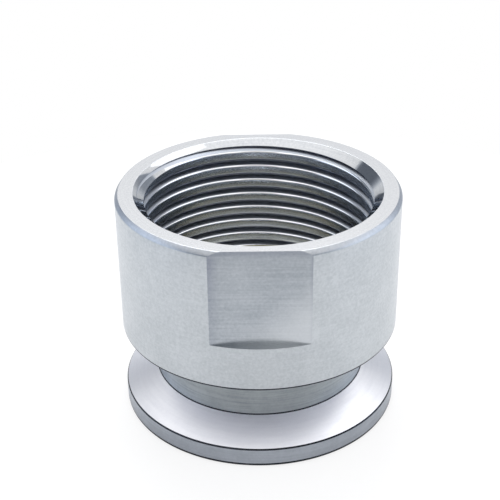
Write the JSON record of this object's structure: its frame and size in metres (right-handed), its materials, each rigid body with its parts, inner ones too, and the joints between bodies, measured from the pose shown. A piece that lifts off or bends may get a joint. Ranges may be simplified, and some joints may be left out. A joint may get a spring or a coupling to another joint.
{
  "type": "vacuum flange to pipe thread adapter",
  "caption": "One-piece turned stainless adapter: a small clamp flange with a tapered back, a short neck, and a thick round body with opposite wrench flats and a female parallel pipe thread.",
  "frame": {"origin": "centre of the flange's sealing face, on the bore axis", "axes": "+Z along the bore axis from the sealing face to the threaded mouth; the two wrench flats face -Y and +Y"},
  "size_m": [0.04, 0.04, 0.033],
  "materials": {
    "turned_stainless": "satin turned stainless steel, wrench flats milled"
  },
  "bodies": {
    "root": {"adapter_body": "turned_stainless"}
  },
  "joints": []
}
